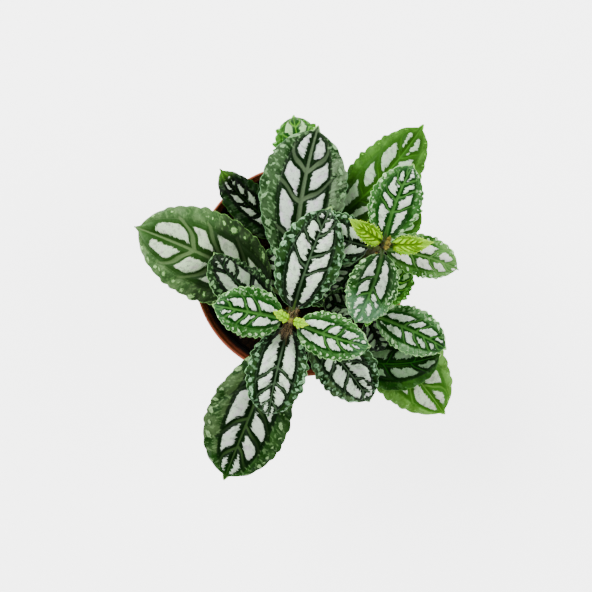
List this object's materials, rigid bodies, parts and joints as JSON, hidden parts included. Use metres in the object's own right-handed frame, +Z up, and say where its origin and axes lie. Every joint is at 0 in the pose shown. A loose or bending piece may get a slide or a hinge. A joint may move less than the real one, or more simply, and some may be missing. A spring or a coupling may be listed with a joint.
{
  "type": "potted aluminum plant",
  "caption": "Small pot-grown aluminum plant: opposite oval leaves with silver patches between sunken veins, on leaning stems in a tapered nursery pot filled with soil.",
  "frame": {"origin": "middle of the pot's underside, where it rests", "axes": "+Z up along the pot's axis; +X to the right and +Y to the back (upwards in the picture, which looks straight down)"},
  "size_m": [0.1556, 0.1766, 0.1668],
  "materials": {
    "pot_plastic": "terracotta-coloured thin moulded plastic, satin",
    "soil": "dark crumbly potting mix, matt",
    "stem": "green to brown soft stem, satin",
    "leaf": "quilted leaf, dark green with raised silver patches, satin",
    "young_leaf": "ribbed young leaf, yellow-green, satin"
  },
  "bodies": {
    "root": {"bud_back": "young_leaf", "bud_front": "young_leaf", "bud_low": "young_leaf", "bud_right": "young_leaf", "bud_tall": "young_leaf", "leaf_back_1_north": "leaf", "leaf_back_1_south": "leaf", "leaf_back_2_east": "leaf", "leaf_back_2_west": "leaf", "leaf_back_3_east": "leaf", "leaf_back_3_west": "leaf", "leaf_front_1_east": "leaf", "leaf_front_1_west": "leaf", "leaf_low_1_east": "leaf", "leaf_low_1_west": "leaf", "leaf_low_2_north": "leaf", "leaf_low_2_south": "leaf", "leaf_low_3_east": "leaf", "leaf_low_3_west": "leaf", "leaf_right_1_east": "young_leaf", "leaf_right_1_west": "young_leaf", "leaf_right_2_north": "leaf", "leaf_right_2_south": "leaf", "leaf_right_3_east": "leaf", "leaf_right_3_west": "leaf", "leaf_right_4_north": "leaf", "leaf_right_4_south": "leaf", "leaf_tall_1_east": "leaf", "leaf_tall_1_west": "leaf", "leaf_tall_2_north": "leaf", "leaf_tall_2_south": "leaf", "leaf_tall_3_east": "leaf", "leaf_tall_3_west": "leaf", "leaf_tall_4_north": "leaf", "leaf_tall_4_south": "leaf", "leaf_tall_5_west": "leaf", "pot": "pot_plastic", "soil": "soil", "stem_back": "stem", "stem_front": "stem", "stem_low": "stem", "stem_right": "stem", "stem_tall": "stem"}
  },
  "joints": []
}
